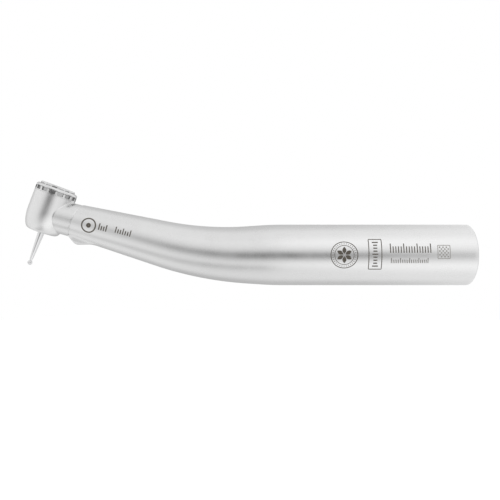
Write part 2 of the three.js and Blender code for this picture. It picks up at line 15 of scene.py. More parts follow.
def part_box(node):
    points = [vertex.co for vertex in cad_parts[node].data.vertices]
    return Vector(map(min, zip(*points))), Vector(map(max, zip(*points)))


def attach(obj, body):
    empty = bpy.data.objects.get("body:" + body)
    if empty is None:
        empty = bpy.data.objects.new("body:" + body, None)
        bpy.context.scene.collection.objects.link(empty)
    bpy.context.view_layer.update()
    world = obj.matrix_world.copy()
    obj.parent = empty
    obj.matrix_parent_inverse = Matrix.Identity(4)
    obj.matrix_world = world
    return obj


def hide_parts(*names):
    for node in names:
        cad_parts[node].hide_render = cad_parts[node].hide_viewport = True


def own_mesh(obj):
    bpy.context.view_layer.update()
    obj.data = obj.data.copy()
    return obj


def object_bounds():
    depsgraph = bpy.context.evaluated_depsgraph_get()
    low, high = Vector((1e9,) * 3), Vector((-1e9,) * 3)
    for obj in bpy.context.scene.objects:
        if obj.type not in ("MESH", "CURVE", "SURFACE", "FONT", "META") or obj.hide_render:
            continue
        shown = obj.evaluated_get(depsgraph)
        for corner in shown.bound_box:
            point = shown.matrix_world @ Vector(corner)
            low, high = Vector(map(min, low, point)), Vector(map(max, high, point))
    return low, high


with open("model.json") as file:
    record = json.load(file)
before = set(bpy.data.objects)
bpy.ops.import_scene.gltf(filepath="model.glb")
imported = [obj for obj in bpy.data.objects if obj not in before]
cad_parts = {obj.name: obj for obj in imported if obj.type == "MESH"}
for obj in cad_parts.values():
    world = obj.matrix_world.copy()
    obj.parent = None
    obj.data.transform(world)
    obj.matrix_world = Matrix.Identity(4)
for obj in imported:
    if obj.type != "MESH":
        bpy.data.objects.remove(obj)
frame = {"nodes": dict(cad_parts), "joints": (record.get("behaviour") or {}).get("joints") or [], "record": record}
cad_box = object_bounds()

# ---- Sizes in millimetres, as in the CAD ----

MM = 0.001
FIT = 0.05  # radial gap between pieces that sit in one another
FACE_GAP = 0.03

HANDLE_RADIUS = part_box("handle_shell")[1].y / MM
HANDLE_BORE = 5.8
REAR_CHAMFER = 0.18  # of the bore's mouth
RIM_STATIONS = (0, 0.03, 0.1, 0.2, 0.3)  # the rounded rear rim, as distances in
RIM_DROPS = (0.26, 0.17, 0.07, 0.02, 0)  # and what each takes off the radius
STRAIGHT = 58.2
BEND_RADIUS = 88.4
BEND_ANGLE = math.radians(14.73)
BEND_LENGTH = BEND_RADIUS * BEND_ANGLE
TAPER_START, TAPER_BLEND, TAPER_SLOPE = 51.8, 3.0, 0.066
NECK_BORE_START, NECK_BORE_END = 66.0, 3.55
NECK_LENGTH = 23.75  # from the end of the bend to the seam
SEAM = STRAIGHT + BEND_LENGTH + NECK_LENGTH
SEAM_TILT = math.radians(8)
SEAM_CHAMFER = 0.06
TO_HEAD = 8.0  # from the seam to the head's axis
STUB_ROOM_END = 6.0  # how far ahead of the seam the handle is cut away

HEAD_RADIUS, HEAD_RIM = 5.3, 10.35
HEAD_BOTTOM, HEAD_SHOULDER = 3.5, 5.5
HEAD_TILT = math.radians(20.7)
JUNCTION = 0.12  # how softly the head flows into its stub
STUB_AT_HEAD, STUB_AT_SEAM, STUB_BORE, SPIGOT = 4.35, 4.5, 2.9, 3.45
STUB_REAR = 2.0  # how far behind the seam the stub's taper starts
SPIN_HEIGHT = 5.5  # of the turbine joint's point above the head's bottom
HEAD_REACH = ((-6, -6, -0.5), (13.5, 6, 11.8))  # the corners that its mesh is looked for between
HEAD_GRID = 0.15

# The lamp's bump, as [ahead, up] in the seam's frame
BUMP_NOSE, BUMP_BROW = (0.7, -4.35), (-0.809, -5.671)
BUMP_CHIN, BUMP_HEEL = (-1.931, -5.924), (-6.0, -4.75)
BUMP_MIDDLE, BUMP_DEPTH, BUMP_WIDTH = -2.9, 3.3, 2.3
BUMP_ZONE = 8.0  # length of neck that the bump may take
BUMP_EDGE, BUMP_SIDE = 0.4, 0.35  # rounding along its top edge and its sides
LAMP_UP, LAMP_AHEAD, LAMP_LEAN = -5.1, -0.12, math.radians(41)
LAMP_BORE, LAMP_WINDOW = 0.9, 0.85
LAMP_BORE_FROM, LAMP_BORE_TO = -1, 3.2
NOZZLE_AHEAD, NOZZLE_LEAN, NOZZLE_RADIUS, NOZZLE_HALF = 2.1, math.radians(28), 0.4, 1.3

RECORD = frame["record"]
JOINTS = {joint["name"]: joint for joint in frame["joints"]}

# ---- Places ----


def axes(x, y, z, origin):
    """The matrix whose columns are these directions and this point."""
    matrix = Matrix.Identity(4)
    for column, vector in enumerate((x, y, z, origin)):
        for row in range(3):
            matrix[row][column] = vector[row]
    return matrix


def head_frame():
    """Z up the turbine's axis from the head's bottom, X towards the neck."""
    joint = JOINTS["turbine_spin"]
    up = Vector(joint["axis"]).normalized()
    side = Vector((0, 1, 0))
    origin = Vector(joint["pos_m"]) / MM - SPIN_HEIGHT * up
    return axes(side.cross(up), side, up, origin)


def spine(along):
    """The centre line's angle, height and reach at distances from the rear face."""
    along = np.asarray(along, float)
    angle = np.clip((along - STRAIGHT) / BEND_RADIUS, 0, BEND_ANGLE)
    beyond = along - STRAIGHT - angle * BEND_RADIUS
    height = BEND_RADIUS * (1 - np.cos(angle)) + beyond * np.sin(angle)
    reach = STRAIGHT + BEND_RADIUS * np.sin(angle) + beyond * np.cos(angle)
    return angle, height, reach


def beside_spine(along, up, side):
    """Points beside the handle's centre line."""
    angle, height, reach = spine(along)
    x = -(reach - up * np.sin(angle))
    z = height + up * np.cos(angle)
    return np.stack(np.broadcast_arrays(x, side, z), axis=-1)


def seam_frame():
    """X up, Y to the side and Z ahead, towards the head, from the neck's seam."""
    _, height, reach = spine(SEAM)
    up = Vector((math.sin(BEND_ANGLE), 0, math.cos(BEND_ANGLE)))
    ahead = Vector((-math.cos(BEND_ANGLE), 0, math.sin(BEND_ANGLE)))
    return axes(up, Vector((0, 1, 0)), ahead, Vector((-reach, 0, height)))


HEAD = head_frame()
AT_SEAM = seam_frame()
AT_LAMP = (
    AT_SEAM
    @ Matrix.Translation((LAMP_UP, 0, LAMP_AHEAD))
    @ Matrix.Rotation(math.pi / 2 + LAMP_LEAN, 4, "Y")
)
AT_NOZZLE = (
    AT_SEAM
    @ Matrix.Translation((-STUB_AT_HEAD, 0, NOZZLE_AHEAD))
    @ Matrix.Rotation(NOZZLE_LEAN - math.pi / 2, 4, "Y")
)
HANDLE = axes(Vector((0, 0, 1)), Vector((0, 1, 0)), Vector((-1, 0, 0)), Vector())

# ---- Meshes ----


def mesh_object(name, points, faces, place=None):
    """A closed mesh in millimetres, with its faces turned outwards."""
    mesh = bpy.data.meshes.new(name)
    mesh.from_pydata([tuple(p) for p in points], [], [tuple(f) for f in faces])
    if place is not None:
        mesh.transform(place)
    work = bmesh.new()
    work.from_mesh(mesh)
    bmesh.ops.recalc_face_normals(work, faces=work.faces)
    work.to_mesh(mesh)
    work.free()
    made = bpy.data.objects.new(name, mesh)
    bpy.context.scene.collection.objects.link(made)
    return made


def skin(rings, closed=False):
    """Points and faces of equal rings joined in turn. Open ends are filled from their middles."""
    rings = np.asarray(rings, float)
    count, around = rings.shape[:2]
    points = list(rings.reshape(-1, 3))
    faces = []
    for i in range(count if closed else count - 1):
        low, high = i * around, (i + 1) % count * around
        for j in range(around):
            k = (j + 1) % around
            faces.append((low + j, low + k, high + k, high + j))
    if not closed:
        for first in (0, (count - 1) * around):
            middle = len(points)
            points.append(rings[first // around].mean(axis=0))
            faces += [(middle, first + j, first + (j + 1) % around) for j in range(around)]
    return points, faces


def soften(outline, size, steps=3, least=math.radians(25)):
    """Rounds the corners of a closed [radius, height] outline."""
    softened = []
    count = len(outline)
    for i in range(count):
        before, here, after = (Vector(outline[(i + k) % count]) for k in (-1, 0, 1))
        back, on = before - here, after - here
        if here.x == 0 or math.pi - back.angle(on) < least:
            softened.append(tuple(here))
            continue
        reach = min(size, 0.45 * back.length, 0.45 * on.length)
        start, end = here + back.normalized() * reach, here + on.normalized() * reach
        for step in range(steps + 1):
            t = step / steps
            softened.append(tuple(start * (1 - t) ** 2 + here * 2 * t * (1 - t) + end * t**2))
    return softened


def revolve(name, outline, count=96, place=None, soft=0.0, ripple=None):
    """Turns a closed [radius, height] outline about Z. ripple(turn, radius, height) changes a radius."""
    if soft:
        outline = soften(outline, soft)
    turn = np.linspace(0, 2 * math.pi, count, endpoint=False)
    solid = outline[0][0] == 0
    rows = outline[1:-1] if solid else outline
    rings = []
    for radius, height in rows:
        r = np.full(count, radius) if ripple is None else ripple(turn, radius, height)
        rings.append(np.stack([r * np.cos(turn), r * np.sin(turn), np.full(count, height)], axis=-1))
    points, faces = skin(rings, closed=not solid)
    if solid:
        points[-2] = (0, 0, outline[0][1])
        points[-1] = (0, 0, outline[-1][1])
    return mesh_object(name, points, faces, place)


def rod(radius, low, high, place=None, count=64):
    return revolve("cutter", [(0, low), (radius, low), (radius, high), (0, high)], count, place)


def block(low, high, place=None):
    """A cutter between two corners."""
    x, y, z = zip(low, high)
    points = [(a, b, c) for a in x for b in y for c in z]
    faces = [(0, 1, 3, 2), (4, 6, 7, 5), (0, 4, 5, 1), (2, 3, 7, 6), (0, 2, 6, 4), (1, 5, 7, 3)]
    return mesh_object("cutter", points, faces, place)


def combine(target, tools, operation="DIFFERENCE"):
    """Cuts the tools from the target, or joins them to it."""
    for tool in tools:
        step = target.modifiers.new("combine", "BOOLEAN")
        step.operation = operation
        step.solver = "MANIFOLD"
        step.object = tool
    bpy.context.view_layer.update()
    graph = bpy.context.evaluated_depsgraph_get()
    mesh = bpy.data.meshes.new_from_object(target.evaluated_get(graph))
    target.modifiers.clear()
    target.data = mesh
    for tool in tools:
        bpy.data.objects.remove(tool)
    return target


def smooth_max(a, b, size):
    share = np.clip(0.5 - 0.5 * (b - a) / size, 0, 1)
    return b + (a - b) * share + size * share * (1 - share)


def smooth_min(a, b, size):
    return -smooth_max(-a, -b, size)


def grid_crossings(grid, value):
    """A point in each cell that the surface passes through, and each cell's point number or -1."""
    shape = np.array(value.shape) - 1
    total, hits = np.zeros((*shape, 3)), np.zeros(shape)

    def corner(array, offset):
        x, y, z = (slice(o, o + n) for o, n in zip(offset, shape))
        return array[x, y, z]

    for axis in range(3):
        across = [a for a in range(3) if a != axis]
        for shift in range(4):
            near = [0, 0, 0]
            near[across[0]], near[across[1]] = shift & 1, shift >> 1
            far = list(near)
            far[axis] = 1
            a, b = corner(value, near), corner(value, far)
            crossed = (a < 0) != (b < 0)
            share = np.where(crossed, a / np.where(crossed, a - b, 1), 0)[..., None]
            place_hit = corner(grid, near) * (1 - share) + corner(grid, far) * share
            total += np.where(crossed[..., None], place_hit, 0)
            hits += crossed
    active = hits > 0
    index = np.full(shape, -1)
    index[active] = np.arange(active.sum())
    return total[active] / hits[active][:, None], index


def crossing_faces(value, index):
    """A four-sided face round each grid line that the surface crosses."""
    faces = []
    for axis in range(3):
        u, v = (axis + 1) % 3, (axis + 2) % 3
        first = [slice(None)] * 3
        second = [slice(None)] * 3
        first[axis], second[axis] = slice(0, value.shape[axis] - 1), slice(1, value.shape[axis])
        a, b = value[tuple(first)] < 0, value[tuple(second)] < 0
        for cell in np.argwhere(a != b):
            ring = []
            for du, dv in ((0, 0), (1, 0), (1, 1), (0, 1)):
                at = cell.copy()
                at[u] -= du
                at[v] -= dv
                ring.append(index[tuple(at)])
            faces.append(ring if a[tuple(cell)] else ring[::-1])
    return faces


def implicit_mesh(name, field, low, high, step, place):
    """A closed mesh where the field is 0, with the field below 0 inside."""
    lines = [np.arange(a, b + step, step) for a, b in zip(low, high)]
    grid = np.stack(np.meshgrid(*lines, indexing="ij"), axis=-1)
    value = field(grid)
    points, index = grid_crossings(grid, value)
    return mesh_object(name, settle(points, field), crossing_faces(value, index), place)


def settle(points, field, rounds=4, reach=1e-4):
    """Moves points onto the surface where the field is 0."""
    for _ in range(rounds):
        value = field(points)
        rises = [field(points + reach * axis) - field(points - reach * axis) for axis in np.eye(3)]
        slope = np.stack(rises, axis=-1) / (2 * reach)
        points = points - slope * (value / np.maximum((slope**2).sum(axis=-1), 1e-6))[:, None]
    return points


# ---- Handle ----


def handle_radius(along):
    past = np.asarray(along, float) - TAPER_START
    blend = TAPER_SLOPE * (past + TAPER_BLEND) ** 2 / (4 * TAPER_BLEND)
    drop = np.where(past < TAPER_BLEND, blend, TAPER_SLOPE * past)
    return HANDLE_RADIUS - np.where(past <= -TAPER_BLEND, 0, drop)


def half_plane(ahead, up, start, end):
    """Distance outside the line from start to end, whose right-hand side is outside."""
    length = math.dist(start, end)
    normal = ((end[1] - start[1]) / length, -(end[0] - start[0]) / length)
    return (ahead - start[0]) * normal[0] + (up - start[1]) * normal[1]


def oval(up, side):
    """Roughly the distance outside the oval that rounds off the bump's sides."""
    x, y = (up - BUMP_MIDDLE) / BUMP_DEPTH, side / BUMP_WIDTH
    size = np.sqrt(x**2 + y**2)
    return size * (size - 1) / np.maximum(np.hypot(x / BUMP_DEPTH, y / BUMP_WIDTH), 1e-6)


def neck_field(radius, ahead, turn, neck_radius, softness):
    """Below 0 inside the neck and its bump, for points given round the neck's centre line."""
    up, side = radius * np.cos(turn), radius * np.sin(turn)
    front = half_plane(ahead, up, BUMP_BROW, BUMP_NOSE)
    rear = half_plane(ahead, up, BUMP_HEEL, BUMP_CHIN)
    bump = smooth_max(smooth_max(front, rear, BUMP_EDGE), oval(up, side), BUMP_SIDE)
    return smooth_min(radius - neck_radius, bump, softness)


def neck_rings(stations, turn):
    """Radius and distance along the handle for each ring, where the bump may be."""
    lean = STUB_AT_SEAM * math.tan(SEAM_TILT) * np.cos(turn)[None, :]
    along = stations[:, None] - lean
    behind = (SEAM - stations[:, None]) * math.cos(SEAM_TILT) + np.zeros_like(lean)
    neck = handle_radius(np.minimum(along, SEAM)) - np.clip(SEAM_CHAMFER - behind, 0, SEAM_CHAMFER)
    softness = 0.02 + 0.5 * np.clip(behind, 0, 1)
    low, high = np.full(along.shape, 3.0), np.full(along.shape, 7.0)
    for _ in range(30):
        middle = (low + high) / 2
        outside = neck_field(middle, along - SEAM, turn[None, :], neck, softness) > 0
        low, high = np.where(outside, low, middle), np.where(outside, middle, high)
    return high, along


LEAN_LENGTH = 10  # over which the rings turn from square to the seam's tilt


def handle_outside(count=288):
    """The handle's outer skin, whose last rings lie along the tilted seam and carry the bump."""
    turn = np.linspace(0, 2 * math.pi, count, endpoint=False)
    zone = SEAM - BUMP_ZONE
    body = np.concatenate([np.linspace(1.2, STRAIGHT, 48), np.linspace(STRAIGHT + 1, zone - 0.5, 42)])
    fine = np.concatenate(
        [
            np.linspace(zone, SEAM - 1, 40),
            SEAM - 1 + np.linspace(0.1, 0.78, 7),
            SEAM - np.array([SEAM_CHAMFER + 0.01, SEAM_CHAMFER / 2, 0.03, 0]),
            SEAM + np.linspace(0.08, 2.4, 24),
        ]
    )
    rings = []
    for station, drop in zip(RIM_STATIONS, RIM_DROPS):
        r = HANDLE_RADIUS - drop
        rings.append(beside_spine(station, r * np.cos(turn), r * np.sin(turn)))
    for station in body:
        share = np.clip((station - zone + LEAN_LENGTH) / LEAN_LENGTH, 0, 1)
        lean = share**2 * (3 - 2 * share) * STUB_AT_SEAM * math.tan(SEAM_TILT) * np.cos(turn)
        r = handle_radius(station - lean)
        rings.append(beside_spine(station - lean, r * np.cos(turn), r * np.sin(turn)))
    for r, along in zip(*neck_rings(fine, turn)):
        rings.append(beside_spine(along, r * np.cos(turn), r * np.sin(turn)))
    return mesh_object("handle_body", *skin(rings))


def handle_bore(count=96):
    """What is cut out of the handle, from the rear to the neck."""
    turn = np.linspace(0, 2 * math.pi, count, endpoint=False)
    mouth = [-1, 0, REAR_CHAMFER]
    stations = np.concatenate([mouth, np.linspace(20, STRAIGHT, 4), np.linspace(60, SEAM + 4, 24)])
    share = np.clip((stations - NECK_BORE_START) / (SEAM - NECK_BORE_START), 0, 1)
    radii = HANDLE_BORE + (NECK_BORE_END - HANDLE_BORE) * share
    radii[:2] += REAR_CHAMFER
    rings = [beside_spine(s, r * np.cos(turn), r * np.sin(turn)) for s, r in zip(stations, radii)]
    return mesh_object("cutter", *skin(rings))


def stub_room(count=96):
    """The room in front of the seam that the head's stub takes."""
    turn = np.linspace(0, 2 * math.pi, count, endpoint=False)
    up, side = (STUB_AT_SEAM + FIT) * np.cos(turn), (STUB_AT_SEAM + FIT) * np.sin(turn)
    rear = -FACE_GAP - up * math.tan(SEAM_TILT)
    ahead = np.full(count, STUB_ROOM_END)
    rings = [np.stack([up, side, rear], axis=-1), np.stack([up, side, ahead], axis=-1)]
    return mesh_object("cutter", *skin(rings), AT_SEAM)


def lamp_bore():
    return rod(LAMP_BORE, LAMP_BORE_FROM, LAMP_BORE_TO, AT_LAMP)


def handle_body():
    tools = [handle_bore(), stub_room(), lamp_bore()]
    return combine(handle_outside(), tools)


def light_window():
    """The lamp's lens, a little domed on the outside."""
    outline = [
        (0, -0.1), (0.3, -0.08), (0.6, -0.01), (0.8, 0.1),
        (LAMP_WINDOW, 0.2), (LAMP_WINDOW, 1.2), (0, 1.2),
    ]  # fmt: skip
    return revolve("window_lens", outline, 48, AT_LAMP)


def led_emitter():
    """The LED's base with its clear dome."""
    outline = [(0, 1.3), (0.2, 1.31), (0.42, 1.38), (0.52, 1.5), (0.82, 1.5), (0.82, 2.05), (0, 2.05)]
    return revolve("led_emitter", outline, 48, AT_LAMP)


SOCKET_BORE, SOCKET_OUTSIDE, SOCKET_WIDE = 4.75, 5.75, 5.25
SOCKET_REAR, SOCKET_FRONT = 0.6, 21.2


def socket_liner():
    """The coupler's socket, with its locking groove and its flared mouth."""
    outline = [
        (SOCKET_OUTSIDE, SOCKET_REAR), (SOCKET_OUTSIDE, SOCKET_FRONT), (SOCKET_BORE, SOCKET_FRONT),
        (SOCKET_BORE, 7.4), (SOCKET_WIDE, 7.4), (SOCKET_WIDE, 6), (SOCKET_BORE, 6),
        (SOCKET_BORE, 1.1), (SOCKET_WIDE, SOCKET_REAR),
    ]  # fmt: skip
    return revolve("socket_liner", outline, 128, HANDLE, soft=0.12)


# ---- Head ----


def head_field(points):
    """Below 0 inside the head and its stub, for points in the head's frame."""
    x, y, z = np.moveaxis(points, -1, 0)
    across, drop = HEAD_RADIUS - HEAD_BOTTOM, HEAD_SHOULDER
    u = np.maximum(np.hypot(x, y) - HEAD_BOTTOM, 0) / across
    v = np.maximum((drop - z) / drop, 0)
    size = np.hypot(u, v)
    body = size * (size - 1) / np.maximum(np.hypot(u / across, v / drop), 1e-6)
    body = np.maximum(body, z - HEAD_RIM - 1)
    to_seam = np.array(AT_SEAM.inverted() @ HEAD)
    up, side, ahead = (row[0] * x + row[1] * y + row[2] * z + row[3] for row in to_seam[:3])
    share = (ahead + STUB_REAR) / (TO_HEAD + STUB_REAR)
    radius = STUB_AT_SEAM + (STUB_AT_HEAD - STUB_AT_SEAM) * share
    clear = ahead * math.cos(SEAM_TILT) + up * math.sin(SEAM_TILT) - FACE_GAP
    stub = np.hypot(up, side) - radius + np.clip(SEAM_CHAMFER - clear, 0, 2 * SEAM_CHAMFER)
    stub = np.maximum(np.maximum(stub, -ahead - 1.6), ahead - TO_HEAD)
    return smooth_min(body, stub, JUNCTION)


SEAT_RADIUS, ROTOR_ROOM, THREAD_ROOM = 3.95, 4.6, 4.75  # of the head's chamber, from below
SEAT_LOW, ROTOR_LOW, THREAD_LOW = 1.2, 3.9, 7.2


def chamber():
    """The room for the turbine cartridge, with the thread's relief above it."""
    above = HEAD_RIM + 2
    outline = [
        (0, SEAT_LOW), (SEAT_RADIUS, SEAT_LOW), (SEAT_RADIUS, ROTOR_LOW), (ROTOR_ROOM, ROTOR_LOW),
        (ROTOR_ROOM, THREAD_LOW), (THREAD_ROOM, THREAD_LOW), (THREAD_ROOM, above), (0, above),
    ]  # fmt: skip
    return revolve("cutter", outline, 96, HEAD)


def behind_seam():
    """Everything behind the stub's face."""
    tilted = AT_SEAM @ Matrix.Rotation(SEAM_TILT, 4, "Y")
    return block((-12, -12, -12), (12, 12, FACE_GAP), tilted)


SPIGOT_END = -2.5
JET = {"at": (0.2, 1.6, 0), "radius": 0.45, "end": 4.2}
EXHAUST = {"at": (-0.6, -1, 0), "radius": 0.9, "end": 4.6}


def stub_spigot():
    """The spigot that goes into the neck, open below for the lamp."""
    outline = [(SPIGOT, SPIGOT_END), (SPIGOT, 1), (STUB_BORE, 1), (STUB_BORE, SPIGOT_END)]
    spigot = revolve("spigot", outline, 96, AT_SEAM, soft=0.12)
    return combine(spigot, [block((-4.6, -1.3, -4), (-2.2, 1.3, 0), AT_SEAM)])


def air_passage(passage):
    """Leads air from the stub's bore to the turbine, or back."""
    return rod(passage["radius"], 2, passage["end"], AT_SEAM @ Matrix.Translation(passage["at"]))


def head_body():
    """The head with its stub, bored for the cartridge, the bur, the air and the spray."""
    outside = implicit_mesh("head_body", head_field, *HEAD_REACH, HEAD_GRID, HEAD)
    above = block((-9, -9, HEAD_RIM), (20, 9, HEAD_RIM + 9), HEAD)
    combine(outside, [above, behind_seam()])
    combine(outside, [stub_spigot()], "UNION")
    bur_hole = [(0, -1), (2.9, -1), (1.9, 0.001), (1.75, 0.15), (1.75, 2), (0, 2)]
    tools = [
        chamber(),
        rod(STUB_BORE, -4, TO_HEAD - 5.4, AT_SEAM),
        air_passage(JET),
        air_passage(EXHAUST),
        revolve("cutter", bur_hole, 64, HEAD),
        rod(NOZZLE_RADIUS + FIT, -NOZZLE_HALF, NOZZLE_HALF, AT_NOZZLE, 32),
        lamp_bore(),
    ]
    return combine(outside, tools)


# ---- Cap, ring, button and spring, as [radius, height] in the head's frame ----

NOTCHES, NOTCH_START = 16, math.radians(10.5)
NOTCH_WIDTH, NOTCH_LOW, NOTCH_DEPTH, TAB_ROUND = 1.6, 10.6, 0.42, 0.2
CAP_TOP, CAP_SKIRT, CAP_CAVITY = 11.52, 4.7, 4.65
CAP_LOW, CAP_FLOOR, CAP_CEILING, CAP_HOLE = 7.3, 10.15, 9.7, 2.5
RING_BORE, RING_LOW, RING_HIGH, RING_BEVEL = 4.45, 11.62, 12.3, 0.38
BUTTON_RADIUS, BUTTON_FLANGE, BUTTON_STEM = 4.4, 4.6, 1.2
BUTTON_EDGE, BUTTON_ROUND, PAINTED_SHADE_MARGIN = 12.84, 0.16, 0.02
SLOT_LOW, SLOT_HIGH, SLOT_DEPTH, SLOT_WIDTH = 12.3, 12.54, 0.14, 1.3


def notch_turns():
    return [NOTCH_START + 2 * math.pi * i / NOTCHES for i in range(NOTCHES)]


def paint_recess_shade(made, inner, outer, low, high):
    """Paints shade into the faces between two radii and two heights of the head: they take the second, darker
    material, which stands for the shade in the recesses.
    """
    made.data.materials.clear()
    made.data.materials.append(None)
    made.data.materials.append(PAINTED_RECESS_SHADE)
    to_head = HEAD.inverted()
    for face in made.data.polygons:
        x, y, z = to_head @ face.center
        if inner < math.hypot(x, y) < outer and low < z < high:
            face.material_index = 1
    return made


def notch_cutter(turn):
    """A wrench notch that opens outwards and upwards, and rounds off the tabs beside it."""
    half, top = NOTCH_WIDTH / 2, CAP_TOP
    side = [(half + TAB_ROUND, top + 0.6), (half + TAB_ROUND, top)]
    for step in range(1, 5):
        angle = math.pi / 2 * (1 - step / 4)
        side.append((half + TAB_ROUND * (1 - math.cos(angle)), top - TAB_ROUND * (1 - math.sin(angle))))
    side += [(half, NOTCH_LOW + 0.2), (half - 0.06, NOTCH_LOW + 0.06), (half - 0.2, NOTCH_LOW)]
    outline = side + [(-y, z) for y, z in reversed(side)]
    rings = [[(x, y, z) for y, z in outline] for x in (HEAD_RADIUS - NOTCH_DEPTH, HEAD_RADIUS + 1)]
    return mesh_object("cutter", *skin(rings), HEAD @ Matrix.Rotation(turn, 4, "Z"))


def cap_body():
    """The back cap, with the button's cavity above its floor and the upper bearing's seat below."""
    rim = HEAD_RIM + FACE_GAP
    outline = [
        (CAP_SKIRT, CAP_LOW), (CAP_SKIRT, rim), (HEAD_RADIUS, rim), (HEAD_RADIUS, CAP_TOP),
        (CAP_CAVITY, CAP_TOP), (CAP_CAVITY, CAP_FLOOR), (CAP_HOLE, CAP_FLOOR),
        (CAP_HOLE, CAP_CEILING), (SEAT_RADIUS, CAP_CEILING), (SEAT_RADIUS, CAP_LOW),
    ]  # fmt: skip
    cap = revolve("cap_body", outline, 196, HEAD)
    combine(cap, [notch_cutter(turn) for turn in notch_turns()])
    # Painted shade: the notches' walls and floors take the darker material, for the shade that falls in them
    inner, outer = CAP_CAVITY + PAINTED_SHADE_MARGIN, HEAD_RADIUS - PAINTED_SHADE_MARGIN
    return paint_recess_shade(cap, inner, outer, NOTCH_LOW - 0.01, CAP_TOP - 0.01)


def cap_ring():
    """The ring that keeps the button in the cap."""
    outline = [
        (RING_BORE, RING_LOW), (HEAD_RADIUS, RING_LOW), (HEAD_RADIUS, RING_HIGH - RING_BEVEL),
        (HEAD_RADIUS - RING_BEVEL, RING_HIGH), (RING_BORE, RING_HIGH),
    ]  # fmt: skip
    return revolve("cap_ring", outline, 128, HEAD, soft=0.1)


def button_body():
    """The button, dished a little on top for the thumb, with a row of fine slots round its side."""
    outline = [
        (0, 11.05), (BUTTON_STEM, 11.05), (BUTTON_STEM, 11.3), (BUTTON_FLANGE, 11.3),
        (BUTTON_FLANGE, 11.6), (BUTTON_RADIUS, 11.6), (BUTTON_RADIUS, BUTTON_EDGE), (3.6, BUTTON_EDGE),
        (3.2, 12.8), (2.6, 12.74), (1.8, 12.69), (0.9, 12.66), (0, 12.65),
    ]  # fmt: skip
    button = revolve("button_body", outline, 128, HEAD, soft=BUTTON_ROUND)
    floor = BUTTON_RADIUS - SLOT_DEPTH
    low, high = (floor, -SLOT_WIDTH / 2, SLOT_LOW), (floor + 1, SLOT_WIDTH / 2, SLOT_HIGH)
    slots = [block(low, high, HEAD @ Matrix.Rotation(turn, 4, "Z")) for turn in notch_turns()]
    combine(button, slots)
    # Painted shade: the slots' faces take the darker material, for the shade that falls in them
    return paint_recess_shade(button, floor - PAINTED_SHADE_MARGIN, BUTTON_RADIUS - 0.01, SLOT_LOW - 0.01, SLOT_HIGH + 0.01)


SPRING_LOW, SPRING_HIGH, SPRING_WIRE = 10.2, 11.25, 0.15
SPRING_WIDE, SPRING_NARROW, SPRING_TURNS = 4.3, 3.2, 2.5


def spring_coil():
    """The button's conical return spring, wide end down, in round wire."""
    share = np.linspace(0, 1, 121)[:, None]
    turn = 2 * math.pi * SPRING_TURNS * share
    section = np.linspace(0, 2 * math.pi, 12, endpoint=False)[None, :]
    radius = SPRING_WIDE + (SPRING_NARROW - SPRING_WIDE) * share + SPRING_WIRE * np.cos(section)
    rise = SPRING_HIGH - SPRING_LOW - 2 * SPRING_WIRE
    height = SPRING_LOW + SPRING_WIRE * (1 + np.sin(section)) + rise * share
    rings = np.stack([radius * np.cos(turn), radius * np.sin(turn), height], axis=-1)
    return mesh_object("return_spring", *skin(rings), HEAD)


# ---- Bur, as [radius, height] in the head's frame ----

BUR_TOP, BUR_END, BUR_RADIUS = 9.6, -0.9, 0.8
BALL_HEIGHT, BALL_RADIUS = -8.8, 0.62
BLADES, BLADE_TWIST, BLADE_DEPTH, BLADE_ROOT = 8, 0.9, 0.16, 0.2


def bur_ripple(turn, radius, height):
    """The spiral flutes that leave the blades of the round head."""
    share = np.clip((radius - BLADE_ROOT) / (BALL_RADIUS - BLADE_ROOT), 0, 1)
    share = share * (height < BALL_HEIGHT + 0.5)
    wave = np.abs(np.sin(BLADES / 2 * (turn + BLADE_TWIST * (height - BALL_HEIGHT))))
    return radius * (1 - BLADE_DEPTH * share * (1 - wave) ** 1.5)


def bur_tool():
    """A friction-grip bur: a round head with blades, a tapered neck and a plain shank."""
    bottom, rise = -math.pi / 2, 0.8 * math.pi
    ball = []
    for step in range(25):
        angle = bottom + rise * step / 24
        ball.append((BALL_RADIUS * math.cos(angle), BALL_HEIGHT + BALL_RADIUS * math.sin(angle)))
    ball[0] = (0, BALL_HEIGHT - BALL_RADIUS)
    shank = [
        (0.3, -8.1), (0.34, -7.9), (0.42, -7.6), (0.55, -5.5), (0.68, -3.2), (BUR_RADIUS, BUR_END),
        (BUR_RADIUS, BUR_TOP - 0.2), (BUR_RADIUS - 0.2, BUR_TOP), (0, BUR_TOP),
    ]  # fmt: skip
    return revolve("bur_tool", ball + shank, 96, HEAD, ripple=bur_ripple)


# ---- Marks: plain shapes inlaid in the near side of the handle ----

MARK_PROUD, MARK_DEEP = 0.025, 0.05
MARK_STEP = 0.35  # longest straight piece, so that marks follow the round side
SHORT_TICK = 0.68  # of a tall one


def on_side(flat, lift):
    """Points on the near side: flat is [distance from the rear, arc up from the side line]."""
    flat = np.asarray(flat, float)
    radius = handle_radius(flat[:, 0])
    angle = flat[:, 1] / radius
    radius = radius + lift
    return beside_spine(flat[:, 0], radius * np.sin(angle), -radius * np.cos(angle))


def strip(left, right, closed=False):
    """A thin solid strip between two lines on the near side."""
    sides = [on_side(left, -MARK_DEEP), on_side(left, MARK_PROUD), on_side(right, MARK_PROUD)]
    sides.append(on_side(right, -MARK_DEEP))
    rings = np.stack(sides, axis=1)
    return skin(rings, closed)


def circle(centre, radius, count=72):
    turn = np.linspace(0, 2 * math.pi, count, endpoint=False)
    return np.stack([centre[0] + radius * np.cos(turn), centre[1] + radius * np.sin(turn)], axis=-1)


def ring_mark(centre, radius, width):
    return strip(circle(centre, radius), circle(centre, radius - width), closed=True)


def bar_mark(start, end, width):
    """A straight bar between two points."""
    start, end = np.array(start, float), np.array(end, float)
    length = np.linalg.norm(end - start)
    share = np.linspace(0, 1, max(2, math.ceil(length / MARK_STEP) + 1))[:, None]
    line = start + (end - start) * share
    aside = np.array([start[1] - end[1], end[0] - start[0]]) / length * width / 2
    return strip(line - aside, line + aside)


